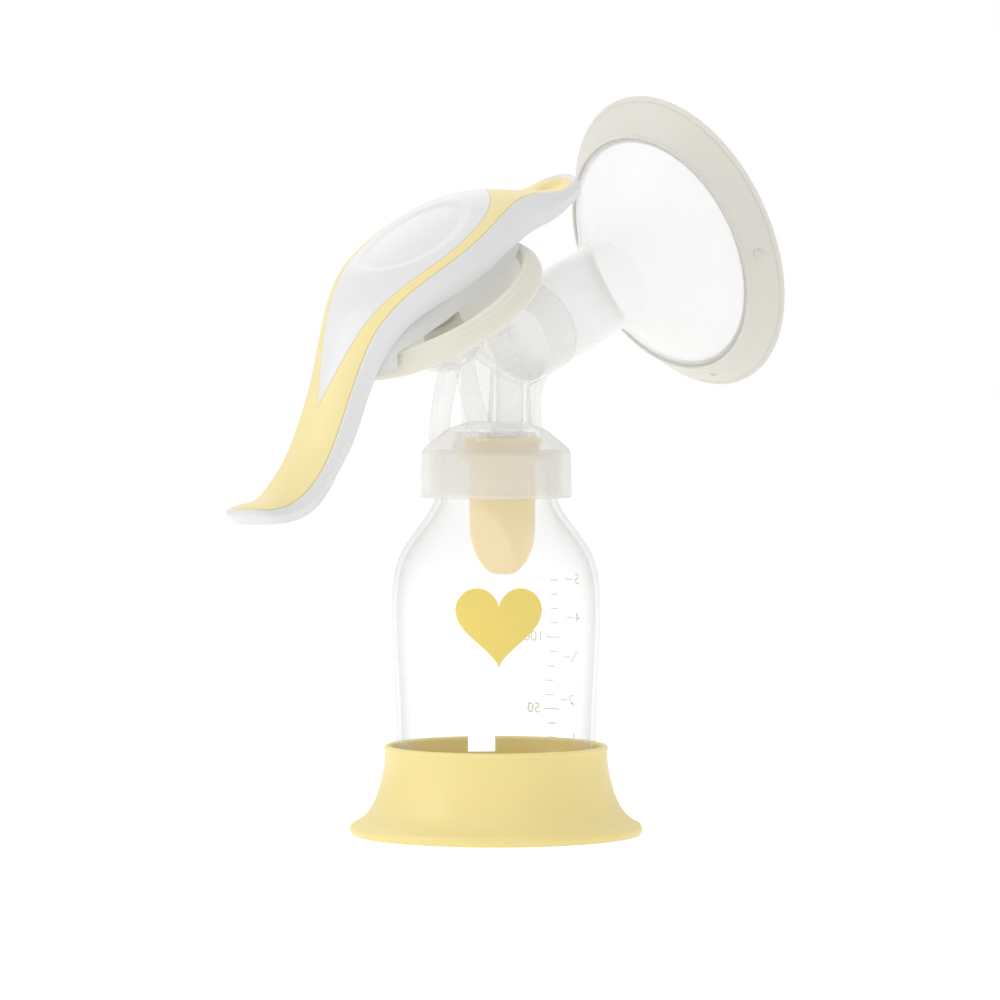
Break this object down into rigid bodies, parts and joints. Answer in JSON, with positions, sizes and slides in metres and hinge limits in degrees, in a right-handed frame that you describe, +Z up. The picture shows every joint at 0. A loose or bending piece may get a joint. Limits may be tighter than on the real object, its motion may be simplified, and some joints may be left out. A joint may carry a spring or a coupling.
{
  "type": "manual breast pump",
  "caption": "Hand-squeezed breast pump: curved swivel handle over a diaphragm, oval soft-rimmed shield, clear connector and bottle in a flared stand.",
  "frame": {"origin": "centre of the stand's flat underside, on the bottle's axis", "axes": "+Z up the bottle, +X towards the breast shield, XZ is the plane of symmetry"},
  "size_m": [0.193, 0.0826, 0.2096],
  "materials": {
    "yellow_plastic": "smooth satin",
    "clear_plastic": "clear polypropylene, polished",
    "clear_connector": "clear polypropylene, slightly milky",
    "soft_valve": "soft translucent silicone",
    "soft_rim": "soft translucent elastomer, satin",
    "silicone": "translucent silicone, satin",
    "white_plastic": "satin gloss",
    "yellow_grip": "soft-touch, satin",
    "grey_white_plastic": "matte",
    "stem_plastic": "matte",
    "seal_rubber": "matte"
  },
  "bodies": {
    "stand": {"stand": "yellow_plastic"},
    "bottle": {"bottle": "clear_plastic", "connector": "clear_connector", "valve": "soft_valve"},
    "shield": {"breast_shield": "clear_plastic", "soft_rim": "soft_rim"},
    "diaphragm": {"diaphragm": "silicone"},
    "stem": {"stem": "stem_plastic", "stem_seal": "seal_rubber"},
    "handle": {"handle_shell": "white_plastic", "handle_top_cover": "white_plastic", "handle_grip": "yellow_grip", "handle_skirt": "grey_white_plastic"}
  },
  "joints": [
    {"name": "bottle_lift", "type": "slide", "parent": "stand", "child": "bottle", "axis": [0, 0, 1], "range_m": [0, 0.04]},
    {"name": "shield_turn", "type": "hinge", "parent": "bottle", "child": "shield", "pos_m": [0.0182, 0, 0.1434], "axis": [0.9205, 0, 0.3907], "continuous": true},
    {"name": "handle_swivel", "type": "hinge", "parent": "bottle", "child": "diaphragm", "pos_m": [-0.0235, 0, 0.1463], "axis": [-0.5592, 0, 0.829], "range_deg": [-90, 90]},
    {"name": "handle_squeeze", "type": "hinge", "parent": "diaphragm", "child": "handle", "pos_m": [-0.0506, 0, 0.1355], "axis": [0, -1, 0], "range_deg": [0, 18], "stiffness_Nm_per_rad": 2, "deforming": ["diaphragm"]},
    {"name": "stem_slide", "type": "slide", "parent": "diaphragm", "child": "stem", "axis": [-0.5592, 0, 0.829], "range_m": [0, 0.009]}
  ],
  "couplings": [
    {"joint": "stem_slide", "follows": "handle_squeeze", "m_per_rad": 0.0285}
  ]
}
